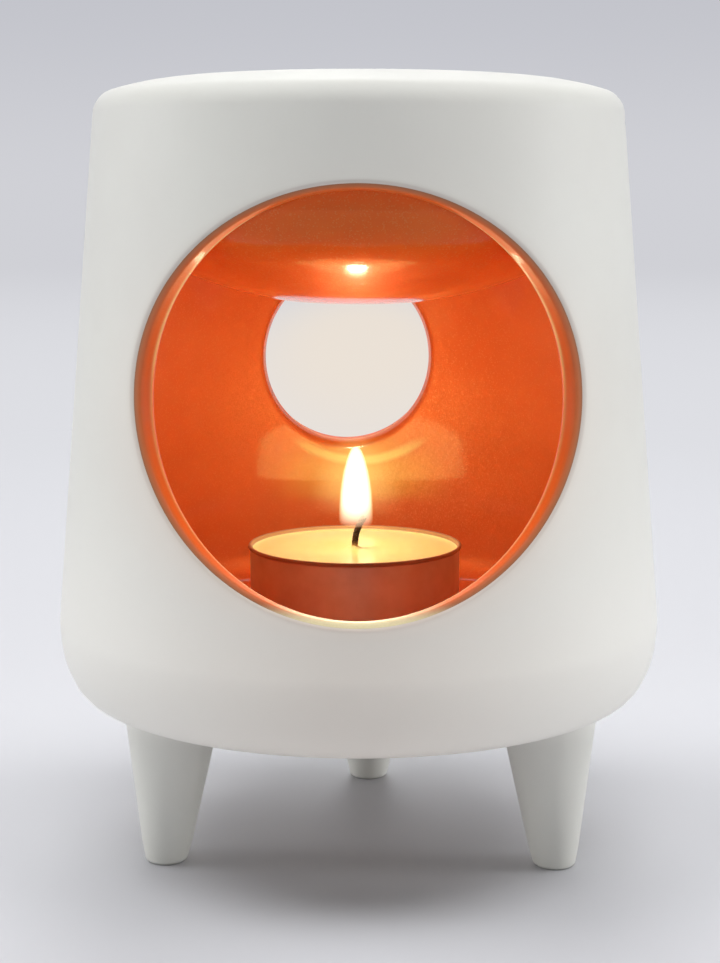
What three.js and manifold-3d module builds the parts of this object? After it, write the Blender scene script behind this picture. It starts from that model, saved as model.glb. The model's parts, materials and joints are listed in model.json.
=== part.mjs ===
// Oil burner: a tapering slip-cast drum on three legs. A large round opening in front and a
// smaller one behind are cut through its wall, an oil dish hangs in its top, and a tealight
// stands on the chamber floor. Millimetres, +Z up, front towards -Y, origin on the ground
// under the drum's axis.
import * as THREE from 'three';
import { mergeVertices, toCreasedNormals } from 'three/addons/utils/BufferGeometryUtils.js';
import Module from 'manifold-3d';

const wasm = await Module();
wasm.setup();

// Drum
const LEG_HEIGHT = 27.5;          // ground to the drum's flat base
const DRUM_HEIGHT = 106.7;        // flat base to the crest of the crown
const BELLY_RADIUS = 53.1;        // widest, just above the base corner
const NECK_RADIUS = 45.6;         // where the straight wall ends
const WALL = 3.9;
const BASE_CORNER_WIDTH = 6.2;
const BASE_CORNER_HEIGHT = 13.2;
const NECK_DROP = 5.9;            // crest of the crown down to the neck
const CROWN_ROLL = 4.3;           // radius that turns the wall over into the domed crown
const CROWN_SLOPE = THREE.MathUtils.degToRad(16.8); // of the dome where the roll meets it
const FLOOR_THICKNESS = 8.7;
const FLOOR_CORNER = 7;
const BASE_HOLLOW_RADIUS = 23;    // shallow hollow under the base, clear of the legs
const BASE_HOLLOW_RISE = 2.6;

// Openings, cut square to the wall, with rounded lips
const OPENING_RISE = 55.3;        // flat base to the centre of both openings
const FRONT_HALF_WIDTH = 35.5;
const FRONT_HALF_HEIGHT = 33.2;
const REAR_RADIUS = 17.7;
const REAR_OFFSET = -2.55;        // the rear opening sits a little left of the front one
const LIP_ROUNDING = 0.9;
const LIP_SWEEP = THREE.MathUtils.degToRad(65);

// Copper glaze: a thin coat on the chamber and the lips
const GLAZE = 0.5;
const SEAM = 0.3;                 // between pieces that touch

// Oil dish
const DISH_DEPTH = 38.2;          // crest of the crown to the dish's underside
const DISH_WALL = 4;
const DISH_FLAT_RADIUS = 13;
const DISH_FILLET = 12;           // between the flat and the flank, on the underside
const DISH_FLANK = THREE.MathUtils.degToRad(26);
const DISH_EDGE = THREE.MathUtils.degToRad(80);
const DISH_SWEEP = 20;            // radius that carries the flank up to the drum's wall
const WELL_SETBACK = 0.4;         // well wall behind the crown's rolled edge
const WELL_CORNER = 14;
const WELL_EDGE = 0.8;

// Legs, luted under the base: the ring that they stand on is turned and shifted by hand
const LEG_FOOT_RADIUS = 3.75;
const LEG_TOP_RADIUS = 8.5;
const LEG_LEAN = 1.7;             // foot further out than the top
const LEG_FILLET = 1.1;           // roll of slip where the leg meets the base
const LEG_EDGE = 0.9;
const FRONT_LEG_INSET = 8.8;      // edge of the flat base in to the middle of the foot
const FRONT_LEG_ANGLE = THREE.MathUtils.degToRad(27.8); // forward of the drum's side
const REAR_LEG_INSET = 14.9;
const LEG_RING_SHIFT = 0.8;
const LEG_RING_TURN = THREE.MathUtils.degToRad(-1.9);

// Tealight
const CUP_RADIUS = 18.7;
const CUP_HEIGHT = 15.6;
const CUP_WALL = 0.35;
const CUP_BEAD = 0.35;            // radius of the rolled rim
const CUP_CORNER = 1.6;
const CUP_SIDE_SHIFT = -0.7;      // where it was set down, off the drum's axis
const CUP_BACK_SHIFT = 0.3;
const WAX_DROP = 0.9;             // rim down to the level wax
const WAX_MENISCUS_HEIGHT = 0.4;
const WAX_MENISCUS_WIDTH = 1.6;
const WICK_RADIUS = 0.55;
const WICK_RISE = 5.6;            // above the wax
const WICK_LEAN = 1.7;
const SUSTAINER_RADIUS = 6;
const SUSTAINER_PLATE = 0.4;
const COLLAR_HEIGHT = 3;
const COLLAR_WALL = 0.5;

// Facets
const DRUM_SIDES = 52;
const FRONT_OUTLINE_SIDES = 44;
const REAR_OUTLINE_SIDES = 24;
const LEG_SIDES = 18;
const CUP_SIDES = 32;
const SMALL_SIDES = 14;

// Heights and radii that follow from the sizes above
const baseZ = LEG_HEIGHT;
const topZ = baseZ + DRUM_HEIGHT;
const beltZ = baseZ + BASE_CORNER_HEIGHT;
const neckZ = topZ - NECK_DROP;
const floorZ = baseZ + FLOOR_THICKNESS;
const openingZ = baseZ + OPENING_RISE;
const baseFlatRadius = BELLY_RADIUS - BASE_CORNER_WIDTH;
const taper = Math.atan2(BELLY_RADIUS - NECK_RADIUS, neckZ - beltZ);
const outerRadiusAt = z => THREE.MathUtils.mapLinear(z, beltZ, neckZ, BELLY_RADIUS, NECK_RADIUS);
const innerRadiusAt = z => outerRadiusAt(z) - WALL / Math.cos(taper);
const rollCentre = [NECK_RADIUS - CROWN_ROLL * Math.cos(taper), neckZ - CROWN_ROLL * Math.sin(taper)];
const domeRise = topZ - rollCentre[1] - CROWN_ROLL * Math.cos(CROWN_SLOPE);
const domeRadius = domeRise / (1 - Math.cos(CROWN_SLOPE));
const crestRadius = rollCentre[0] - (domeRadius - CROWN_ROLL) * Math.sin(CROWN_SLOPE);

const RIGHT = Math.PI / 2;
const CREASE = THREE.MathUtils.degToRad(35);

// Profiles are lists of [radius, height], run so that the material lies on the left
function arc([r, z], width, height, from, to, steps) {
  return Array.from({ length: steps + 1 }, (_, i) => {
    const angle = THREE.MathUtils.lerp(from, to, i / steps);
    return [r + width * Math.cos(angle), z + height * Math.sin(angle)];
  });
}

// Moves a profile outwards by a distance, mitred at its corners, its ends kept on the axis
function grow(profile, distance) {
  return profile.map(([r, z], i) => {
    const [rBefore, zBefore] = profile[Math.max(i - 1, 0)];
    const [rAfter, zAfter] = profile[Math.min(i + 1, profile.length - 1)];
    const before = new THREE.Vector2(z - zBefore, rBefore - r).normalize();
    const after = new THREE.Vector2(zAfter - z, r - rAfter).normalize();
    const normal = before.clone().add(after).normalize();
    const reach = distance / Math.max(normal.dot(before), normal.dot(after));
    return [r + normal.x * reach, z + normal.y * reach];
  });
}

function revolved(profile, sides) {
  const points = profile.map(([r, z]) => new THREE.Vector2(r, z));
  return new THREE.LatheGeometry(points, sides).rotateX(RIGHT);
}

// A closed skin over a row of rings, with a fan to a point at each end
function lofted(rings, firstPoint, lastPoint) {
  const sides = rings[0].length;
  const points = [...rings.flat(), firstPoint, lastPoint];
  const first = points.length - 2;
  const last = points.length - 1;
  const index = [];
  for (let side = 0; side < sides; side += 1) {
    const next = (side + 1) % sides;
    for (let ring = 0; ring + 1 < rings.length; ring += 1) {
      const here = ring * sides;
      const there = here + sides;
      index.push(here + side, here + next, there + next, here + side, there + next, there + side);
    }
    const end = (rings.length - 1) * sides;
    index.push(first, next, side, last, end + side, end + next);
  }
  const geometry = new THREE.BufferGeometry().setFromPoints(points);
  geometry.setIndex(index);
  return geometry;
}

function solid(geometry) {
  const bare = geometry.clone();
  bare.deleteAttribute('normal');
  bare.deleteAttribute('uv');
  const merged = mergeVertices(bare);
  const corners = merged.index.array;
  const triangles = [];
  for (let i = 0; i < corners.length; i += 3) {
    const [a, b, c] = corners.slice(i, i + 3);
    if (a !== b && b !== c && c !== a) triangles.push(a, b, c);
  }
  const vertProperties = Float32Array.from(merged.attributes.position.array);
  const triVerts = Uint32Array.from(triangles);
  return new wasm.Manifold(new wasm.Mesh({ numProp: 3, vertProperties, triVerts }));
}

function shapeOf(manifold) {
  const { vertProperties, triVerts } = manifold.getMesh();
  const geometry = new THREE.BufferGeometry();
  geometry.setAttribute('position', new THREE.BufferAttribute(vertProperties, 3));
  geometry.setIndex(new THREE.BufferAttribute(triVerts, 1));
  return geometry;
}

function mesh(name, material, geometry) {
  const part = new THREE.Mesh(toCreasedNormals(geometry, CREASE), material);
  part.name = name;
  return part;
}

const whiteCeramic = new THREE.MeshStandardMaterial({ color: 0xdcddd8, roughness: 0.45, metalness: 0 });
const copperGlaze = new THREE.MeshStandardMaterial({ color: 0xc65a2a, roughness: 0.3, metalness: 0.6 });
const aluminium = new THREE.MeshStandardMaterial({ color: 0xc9cbce, roughness: 0.3, metalness: 1 });
const whiteWax = new THREE.MeshStandardMaterial({ color: 0xf4e7c6, roughness: 0.4, metalness: 0 });
const charredCotton = new THREE.MeshStandardMaterial({ color: 0x1c1714, roughness: 0.95, metalness: 0 });
const tinplate = new THREE.MeshStandardMaterial({ color: 0xa9abad, roughness: 0.4, metalness: 1 });

// Drum profiles: the outside from the base to the crest, and the chamber from the floor up
function hollowUnderBase() {
  const steps = 3;
  return Array.from({ length: steps }, (_, i) => {
    const share = i / steps;
    return [BASE_HOLLOW_RADIUS * share, baseZ + BASE_HOLLOW_RISE * (1 + Math.cos(Math.PI * share)) / 2];
  });
}

// The crown at a depth under its outside: a roll off the wall, then a shallow dome to the crest
function crown(depth, rollSteps) {
  const roll = CROWN_ROLL - depth;
  const dome = domeRadius - depth;
  return [
    ...arc(rollCentre, roll, roll, taper, RIGHT - CROWN_SLOPE, rollSteps),
    ...arc([crestRadius, topZ - domeRadius], dome, dome, RIGHT - CROWN_SLOPE, RIGHT, 2).slice(1),
  ];
}

const outside = [
  ...hollowUnderBase(),
  [BASE_HOLLOW_RADIUS, baseZ],
  ...arc([baseFlatRadius, beltZ], BASE_CORNER_WIDTH, BASE_CORNER_HEIGHT, -RIGHT, 0, 6),
  ...crown(0, 4),
];
const floorCornerZ = floorZ + FLOOR_CORNER;
const floorFlatRadius = innerRadiusAt(floorCornerZ) - FLOOR_CORNER;
const chamber = [
  [0, floorZ],
  ...arc([floorFlatRadius, floorCornerZ], FLOOR_CORNER, FLOOR_CORNER, -RIGHT, 0, 4),
  ...crown(WALL, 1),
];
const crownEdge = [crestRadius, topZ - WALL / 2];
const rolledEdge = arc(crownEdge, WALL / 2, WALL / 2, RIGHT, 3 * RIGHT, 5).slice(1, -1);

// The lip's section as [depth into the wall, growth of the outline]: a straight cut between two
// rounded edges, with a short ramp off each edge. Offset moves it into the opening, and the
// roundings grow with it.
function lipSection(offset) {
  const rounding = LIP_ROUNDING + offset;
  const steps = 2;
  const edge = Array.from({ length: steps + 1 }, (_, i) => {
    const angle = LIP_SWEEP * i / steps;
    return [rounding * Math.sin(angle), LIP_ROUNDING - rounding * Math.cos(angle)];
  });
  const [reach, growth] = edge.at(-1);
  const ramp = [reach + LIP_ROUNDING * Math.cos(LIP_SWEEP), growth + LIP_ROUNDING * Math.sin(LIP_SWEEP)];
  const half = [...edge, ramp];
  return [
    [-NECK_RADIUS / 3, ramp[1]],
    ...half.map(([depth, grown]) => [LIP_ROUNDING - depth, grown]).reverse(),
    ...half.map(([depth, grown]) => [WALL - LIP_ROUNDING + depth, grown]),
    [WALL + WALL, ramp[1]],
  ];
}

// An opening's cutter: rings of its outline at growing depths, each ring pulled in along the
// wall's normal, so that the cut face stands square to the wall all round
function openingCutter({ side, centreX, halfWidth, halfHeight, sides }, offset) {
  const section = lipSection(offset);
  const place = (x, z, depth) => {
    const around = Math.asin(x / outerRadiusAt(z));
    const r = outerRadiusAt(z) - depth * Math.cos(taper);
    const depthZ = z - depth * Math.sin(taper);
    return new THREE.Vector3(r * Math.sin(around), side * r * Math.cos(around), depthZ);
  };
  const rings = section.map(([depth, growth]) => Array.from({ length: sides }, (_, i) => {
    const angle = side * 2 * Math.PI * i / sides;
    const x = centreX + (halfWidth + growth) * Math.cos(angle);
    return place(x, openingZ + (halfHeight + growth) * Math.sin(angle), depth);
  }));
  const middleAt = depth => place(centreX, openingZ, depth);
  return lofted(rings, middleAt(section[0][0]), middleAt(section.at(-1)[0]));
}

const openings = [
  {
    side: -1, centreX: 0, halfWidth: FRONT_HALF_WIDTH, halfHeight: FRONT_HALF_HEIGHT,
    sides: FRONT_OUTLINE_SIDES,
  },
  {
    side: 1, centreX: REAR_OFFSET, halfWidth: REAR_RADIUS, halfHeight: REAR_RADIUS,
    sides: REAR_OUTLINE_SIDES,
  },
];

function bodyWall() {
  const section = [...outside, ...rolledEdge, ...chamber.toReversed()];
  let drum = solid(revolved(section, DRUM_SIDES));
  for (const opening of openings) drum = drum.subtract(solid(openingCutter(opening, 0)));
  return shapeOf(drum);
}

// Dish profile, from its underside round the edge under the crown and down into the well
function dishProfile() {
  const bottomZ = topZ - DISH_DEPTH;
  const filletCentre = [DISH_FLAT_RADIUS, bottomZ + DISH_FILLET];
  const underFillet = arc(filletCentre, DISH_FILLET, DISH_FILLET, -RIGHT, DISH_FLANK - RIGHT, 2);
  const [filletEndR, filletEndZ] = underFillet.at(-1);

  // The sweep ends on the drum's wall: its height grows with the flank, the wall's radius shrinks
  const sweepWidth = DISH_SWEEP * (Math.sin(DISH_EDGE) - Math.sin(DISH_FLANK));
  const sweepRise = DISH_SWEEP * (Math.cos(DISH_FLANK) - Math.cos(DISH_EDGE));
  const slope = Math.tan(DISH_FLANK);
  const edgeZAt = r => filletEndZ + (r - sweepWidth - filletEndR) * slope + sweepRise;
  const edgeR = (innerRadiusAt(edgeZAt(0)) - SEAM) / (1 + slope * Math.tan(taper));
  const sweepCentre = [
    edgeR - DISH_SWEEP * Math.sin(DISH_EDGE),
    edgeZAt(edgeR) + DISH_SWEEP * Math.cos(DISH_EDGE),
  ];
  const sweep = arc(sweepCentre, DISH_SWEEP, DISH_SWEEP, DISH_FLANK - RIGHT, DISH_EDGE - RIGHT, 5);
  const rimGap = WALL + SEAM;
  const under = [[0, bottomZ], ...underFillet, ...sweep, ...crown(rimGap, 1)];

  // The well keeps the dish's wall over the flat and the flank, and rises straight to the rim
  const wellRadius = crestRadius - WALL / 2 + WELL_SETBACK;
  const rimZ = topZ - rimGap;
  const wellFilletRadius = DISH_FILLET - DISH_WALL;
  const wellFillet = arc(filletCentre, wellFilletRadius, wellFilletRadius, DISH_FLANK - RIGHT, -RIGHT, 2);
  const [flankR, flankZ] = wellFillet[0];
  const cornerR = wellRadius - WELL_CORNER;
  const cornerZ = flankZ + (WELL_CORNER + (cornerR - flankR) * Math.sin(DISH_FLANK)) / Math.cos(DISH_FLANK);
  const well = [
    ...arc([wellRadius + WELL_EDGE, rimZ - WELL_EDGE], WELL_EDGE, WELL_EDGE, RIGHT, 2 * RIGHT, 2),
    ...arc([cornerR, cornerZ], WELL_CORNER, WELL_CORNER, 0, DISH_FLANK - RIGHT, 5),
    ...wellFillet,
    [0, bottomZ + DISH_WALL],
  ];
  return { under, well };
}

const dish = dishProfile();

function oilDish() {
  return revolved([...dish.under, ...dish.well], DRUM_SIDES);
}

// The coat is the skin between two offsets of the same hollow: chamber and openings together
function copperLining() {
  const drum = solid(revolved([...outside, [0, topZ]], DRUM_SIDES));
  const hollow = offset => openings.reduce(
    (joined, opening) => joined.add(solid(openingCutter(opening, offset))),
    solid(revolved(grow([...chamber, [0, topZ - WALL]], -offset), DRUM_SIDES)),
  );
  const coat = hollow(SEAM).intersect(drum).subtract(hollow(SEAM + GLAZE));
  const dishAndAbove = solid(revolved([...grow(dish.under, SEAM), [0, topZ]], DRUM_SIDES));
  return shapeOf(coat.subtract(dishAndAbove));
}

// Legs are revolved upright and then leaned by shifting each height, so both ends stay level
function leg([footX, footY]) {
  const top = baseZ - SEAM;
  const radiusAt = z => THREE.MathUtils.mapLinear(z, 0, LEG_HEIGHT, LEG_FOOT_RADIUS, LEG_TOP_RADIUS);
  const filletZ = top - LEG_FILLET;
  const profile = [
    [0, 0],
    ...arc([LEG_FOOT_RADIUS - LEG_EDGE, LEG_EDGE], LEG_EDGE, LEG_EDGE, -RIGHT, 0, 2),
    ...arc([radiusAt(filletZ) + LEG_FILLET, filletZ], LEG_FILLET, LEG_FILLET, 2 * RIGHT, RIGHT, 3),
    [0, top],
  ];
  const lean = new THREE.Vector2(-footX, -footY).setLength(LEG_LEAN / LEG_HEIGHT);
  const shear = new THREE.Matrix4().makeShear(0, 0, 0, 0, lean.x, lean.y);
  return revolved(profile, LEG_SIDES).applyMatrix4(shear).translate(footX, footY, 0);
}

// The middle of a foot, from its inset and its direction about the drum's axis
function legFoot(inset, direction) {
  const foot = new THREE.Vector2(baseFlatRadius - inset, 0);
  foot.rotateAround(new THREE.Vector2(), direction + LEG_RING_TURN);
  return [foot.x + LEG_RING_SHIFT, foot.y];
}

// Tealight, modelled from its own base at height zero
const cupInnerRadius = CUP_RADIUS - CUP_WALL;
const waxTop = CUP_HEIGHT - WAX_DROP;
const plateZ = CUP_WALL + SEAM;

function tealightCup() {
  const beadZ = CUP_HEIGHT - CUP_BEAD;
  const innerCorner = CUP_CORNER - CUP_WALL;
  return revolved([
    [0, 0],
    ...arc([CUP_RADIUS - CUP_CORNER, CUP_CORNER], CUP_CORNER, CUP_CORNER, -RIGHT, 0, 2),
    ...arc([CUP_RADIUS, beadZ], CUP_BEAD, CUP_BEAD, -RIGHT, 2 * RIGHT, 4),
    ...arc([cupInnerRadius - innerCorner, CUP_CORNER], innerCorner, innerCorner, 0, -RIGHT, 2),
    [0, CUP_WALL],
  ], CUP_SIDES);
}

function wax() {
  const radius = cupInnerRadius - SEAM;
  const corner = CUP_CORNER - CUP_WALL;
  const meniscus = arc(
    [radius - WAX_MENISCUS_WIDTH, waxTop + WAX_MENISCUS_HEIGHT],
    WAX_MENISCUS_WIDTH, WAX_MENISCUS_HEIGHT, 0, -RIGHT, 3,
  );
  const boreRadius = WICK_RADIUS + SEAM;
  const collarRadius = boreRadius + COLLAR_WALL + SEAM;
  const plateRadius = SUSTAINER_RADIUS + SEAM;
  const plateTop = plateZ + SUSTAINER_PLATE + SEAM;
  const collarTop = plateZ + COLLAR_HEIGHT + SEAM;
  const profile = [
    [plateRadius, plateZ],
    ...arc([radius - corner, plateZ + corner], corner, corner, -RIGHT, 0, 2),
    ...meniscus,
    [boreRadius, waxTop],
    [boreRadius, collarTop],
    [collarRadius, collarTop],
    [collarRadius, plateTop],
    [plateRadius, plateTop],
  ];
  return revolved([...profile, profile[0]], CUP_SIDES);
}

function wickSustainer() {
  const bore = WICK_RADIUS + SEAM;
  const collar = bore + COLLAR_WALL;
  const profile = [
    [bore, plateZ],
    [SUSTAINER_RADIUS, plateZ],
    [SUSTAINER_RADIUS, plateZ + SUSTAINER_PLATE],
    [collar, plateZ + SUSTAINER_PLATE],
    [collar, plateZ + COLLAR_HEIGHT],
    [bore, plateZ + COLLAR_HEIGHT],
  ];
  return revolved([...profile, profile[0]], SMALL_SIDES);
}

function wick() {
  const tipZ = waxTop + WICK_RISE;
  const path = new THREE.CurvePath();
  path.add(new THREE.LineCurve3(new THREE.Vector3(0, 0, plateZ), new THREE.Vector3(0, 0, waxTop)));
  path.add(new THREE.QuadraticBezierCurve3(
    new THREE.Vector3(0, 0, waxTop),
    new THREE.Vector3(0, 0, waxTop + WICK_RISE / 2),
    new THREE.Vector3(WICK_LEAN, 0, tipZ),
  ));
  const round = new THREE.Shape().absarc(0, 0, WICK_RADIUS, 0, 2 * Math.PI);
  const options = { steps: 14, curveSegments: 4, extrudePath: path };
  return new THREE.ExtrudeGeometry(round, options);
}

const burner = new THREE.Group();
burner.add(
  mesh('body_wall', whiteCeramic, bodyWall()),
  mesh('copper_lining', copperGlaze, copperLining()),
  mesh('oil_dish', copperGlaze, oilDish()),
  mesh('leg_front_left', whiteCeramic, leg(legFoot(FRONT_LEG_INSET, 2 * RIGHT + FRONT_LEG_ANGLE))),
  mesh('leg_front_right', whiteCeramic, leg(legFoot(FRONT_LEG_INSET, -FRONT_LEG_ANGLE))),
  mesh('leg_rear', whiteCeramic, leg(legFoot(REAR_LEG_INSET, RIGHT))),
);

const tealight = new THREE.Group();
tealight.position.set(CUP_SIDE_SHIFT, CUP_BACK_SHIFT, floorZ + SEAM + GLAZE + SEAM);
tealight.add(
  mesh('tealight_cup', aluminium, tealightCup()),
  mesh('wax', whiteWax, wax()),
  mesh('wick_sustainer', tinplate, wickSustainer()),
  mesh('wick', charredCotton, wick()),
);
burner.add(tealight);

export default burner;
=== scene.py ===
# %% [markdown]
# A ceramic oil burner, dressed for its portrait
#
# The frame holds the burner as ten plain solids in metres: a tapering drum on three legs, a
# copper glaze inside it, a dish in its top and a tealight on its floor. This notebook gives each
# of them a finer surface and a finish with some depth, from the same few sizes as the solids.

# %% Load the frame
import json
from math import atan2, cos, degrees, exp, hypot, pi, radians, sin, tan

import bmesh
import bpy
import numpy as np
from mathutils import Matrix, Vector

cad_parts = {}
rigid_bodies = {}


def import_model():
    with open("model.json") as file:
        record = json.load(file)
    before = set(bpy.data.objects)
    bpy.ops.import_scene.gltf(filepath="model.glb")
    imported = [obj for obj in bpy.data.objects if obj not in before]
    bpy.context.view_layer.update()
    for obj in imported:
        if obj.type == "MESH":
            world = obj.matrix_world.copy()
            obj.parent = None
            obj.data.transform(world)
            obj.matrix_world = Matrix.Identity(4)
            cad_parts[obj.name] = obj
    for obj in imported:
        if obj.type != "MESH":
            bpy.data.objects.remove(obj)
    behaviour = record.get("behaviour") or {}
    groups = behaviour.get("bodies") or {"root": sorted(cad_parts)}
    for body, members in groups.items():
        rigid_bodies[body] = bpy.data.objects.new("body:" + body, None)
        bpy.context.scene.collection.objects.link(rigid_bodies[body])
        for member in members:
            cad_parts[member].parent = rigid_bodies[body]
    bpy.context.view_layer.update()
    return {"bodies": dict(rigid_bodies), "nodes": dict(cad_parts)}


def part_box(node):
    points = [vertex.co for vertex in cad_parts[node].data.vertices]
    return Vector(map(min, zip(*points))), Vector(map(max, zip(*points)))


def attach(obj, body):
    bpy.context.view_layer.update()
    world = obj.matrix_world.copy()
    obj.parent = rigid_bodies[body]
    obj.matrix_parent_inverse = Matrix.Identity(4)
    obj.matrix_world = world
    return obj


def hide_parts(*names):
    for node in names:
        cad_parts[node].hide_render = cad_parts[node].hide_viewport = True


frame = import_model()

# %% [markdown]
# Camera
#
# The portrait was taken from a little above the middle of the drum, about a third of a metre
# away, looking down by nine degrees. The lens is given as if the long side of the picture were
# 36 mm of film.

# %% Camera
def into_scene(name, data):
    """An object with that name and data, linked into the scene."""
    thing = bpy.data.objects.new(name, data)
    bpy.context.scene.collection.objects.link(thing)
    return thing


portrait_lens = bpy.data.cameras.new("portrait_lens")
portrait_lens.sensor_fit = "VERTICAL"
portrait_lens.sensor_height = 36
portrait_lens.lens = 71.04
portrait_lens.clip_start = 0.01
portrait_lens.clip_end = 200
portrait = into_scene("portrait", portrait_lens)
portrait.location = (0.001033, -0.3344, 0.1153)
portrait.rotation_euler = (radians(81.291), 0, 0.002405)
bpy.context.scene.camera = portrait
bpy.context.scene.view_settings.view_transform = "Standard"
print("camera", tuple(portrait.location))

# %% [markdown]
# Small helpers for node trees
#
# Every tree below, for a shader, the world or a shape, is built from the same three moves: make
# a node with its values, join two sockets, and make a group with named inputs and outputs.


# %% Node helpers
def add(tree, kind, *values, **settings):
    """A node with its settings. Values, or sockets to join, fill its first inputs in order."""
    node = tree.nodes.new(kind)
    for key, value in settings.items():
        setattr(node, key, value)
    for socket, value in zip(node.inputs, values):
        feed(tree, value, socket)
    return node


def feed(tree, value, socket):
    """Joins a socket to an input, or sets the input's own value. None leaves it as it is."""
    if isinstance(value, bpy.types.NodeSocket):
        tree.links.new(value, socket)
    elif value is not None:
        socket.default_value = value


def sums(tree, operation, *values):
    """One Math node's result."""
    return add(tree, "ShaderNodeMath", *values, operation=operation).outputs[0]


def times(tree, first, second):
    return sums(tree, "MULTIPLY", first, second)


def vectors(tree, operation, *values):
    """One Vector Math node's result that is a vector."""
    return add(tree, "ShaderNodeVectorMath", *values, operation=operation).outputs["Vector"]


def measures(tree, operation, *values):
    """One Vector Math node's result that is a number."""
    return add(tree, "ShaderNodeVectorMath", *values, operation=operation).outputs["Value"]


def spread(tree, value, low, high, to_low=0.0, to_high=1.0):
    """Map Range with a smooth step, clamped at both ends."""
    node = add(tree, "ShaderNodeMapRange", value, low, high, to_low, to_high)
    node.interpolation_type = "SMOOTHSTEP"
    return node.outputs[0]


def blend(tree, share, first, second):
    """Mix of two colours by a share from 0 to 1."""
    node = add(tree, "ShaderNodeMix", share, data_type="RGBA")
    feed(tree, first, node.inputs[6])
    feed(tree, second, node.inputs[7])
    return node.outputs[2]


def blend_value(tree, share, first, second):
    """Mix of two numbers by a share from 0 to 1."""
    node = add(tree, "ShaderNodeMix", share, data_type="FLOAT")
    feed(tree, first, node.inputs[2])
    feed(tree, second, node.inputs[3])
    return node.outputs[0]


def part_of(tree, vector, axis):
    return add(tree, "ShaderNodeSeparateXYZ", vector).outputs[axis]


def from_mesh(tree, name):
    """A value that the mesh carries as an attribute."""
    return add(tree, "ShaderNodeAttribute", attribute_name=name).outputs["Fac"]


def distance_from(tree, place, centre, stretch=(1, 1, 1)):
    """How far a place is from a centre, with each axis stretched."""
    shift = tuple(-c * s for c, s in zip(centre, stretch))
    return measures(tree, "LENGTH", add(tree, "ShaderNodeMapping", place, shift, None, stretch).outputs[0])


def scaled(tree, vector, share):
    node = add(tree, "ShaderNodeVectorMath", vector, operation="SCALE")
    feed(tree, share, node.inputs["Scale"])
    return node.outputs[0]


def seen_straight(tree):
    """1 for what the camera sees directly, in a gloss or through glass, and 0 for light."""
    path = tree.nodes.new("ShaderNodeLightPath").outputs
    gloss = sums(tree, "MAXIMUM", path["Is Glossy Ray"], path["Is Transmission Ray"])
    return sums(tree, "MAXIMUM", path["Is Camera Ray"], gloss)


def dim_in_gloss(tree, forward, near, far, least):
    """A strength of 1 to the camera, which in a gloss falls to the least on the camera's side."""
    gloss = tree.nodes.new("ShaderNodeLightPath").outputs["Is Glossy Ray"]
    return blend_value(tree, gloss, 1.0, spread(tree, forward, near, far, least, 1.0))


KINDS = {"float": "NodeSocketFloat", "vector": "NodeSocketVector", "colour": "NodeSocketColor",
         "int": "NodeSocketInt", "object": "NodeSocketObject", "finish": "NodeSocketMaterial",
         "shape": "NodeSocketGeometry"}


def new_group(name, kind, inputs, outputs):
    """A group with named sockets. Each input is given by its kind, or by a number as its value."""
    tree = bpy.data.node_groups.new(name, kind)
    for label, start in inputs.items():
        form = start if isinstance(start, str) else type(start).__name__
        socket = tree.interface.new_socket(label, in_out="INPUT", socket_type=KINDS[form])
        if form != start:
            socket.default_value = start
    for label, form in outputs.items():
        tree.interface.new_socket(label, in_out="OUTPUT", socket_type=KINDS[form])
    return tree, tree.nodes.new("NodeGroupInput").outputs, tree.nodes.new("NodeGroupOutput").inputs


def fill(tree, sockets, **values):
    """Feeds sockets by their names, with _ for a space."""
    for label, value in values.items():
        feed(tree, value, sockets[label.replace("_", " ")])


def use(tree, group, **values):
    """A group placed in a tree, its inputs set or joined by name."""
    node = tree.nodes.new("ShaderNodeGroup")
    node.node_tree = group
    fill(tree, node.inputs, **values)
    return node.outputs


def new_material(name):
    """An empty material, with its tree, its Principled shader and Object coordinates."""
    material = bpy.data.materials.new(name)
    material.use_nodes = True
    tree = material.node_tree
    tree.nodes.clear()
    shader = tree.nodes.new("ShaderNodeBsdfPrincipled")
    surface = tree.nodes.new("ShaderNodeOutputMaterial")
    tree.links.new(shader.outputs[0], surface.inputs["Surface"])
    place = tree.nodes.new("ShaderNodeTexCoord").outputs["Object"]
    return material, tree, shader.inputs, place


print("helpers ready")

# %% [markdown]
# The room
#
# The burner stands on a seamless pale sweep, in the light of a small product studio: soft patches
# of light high in front, on both sides and behind, and weaker ones low all round. The high ones
# throw the round shadow between the legs and light the crown, the low ones lift the drum's
# sides, and little comes from the camera, which is why the drum is darker in its middle. Each
# patch is a soft-edged cap of the world's sphere. What the camera sees of the world is a plain
# lavender grey, and far out the floor turns into the same grey, so that no horizon shows. The
# glossy glazes mirror that grey too, but darker on the camera's side, where the studio is dim.

# %% Soft patch of light
patch, given, result = new_group(
    "soft_patch", "ShaderNodeTree",
    {"Toward": "vector", "Aim": "vector", "Rim": 0.9, "Heart": 0.98, "Strength": 1.0},
    {"Level": "float"},
)
nearness = measures(patch, "DOT_PRODUCT", given["Toward"], given["Aim"])
shine = spread(patch, nearness, given["Rim"], given["Heart"], 0.0, given["Strength"])
feed(patch, shine, result["Level"])
print("soft patch ready")

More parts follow.
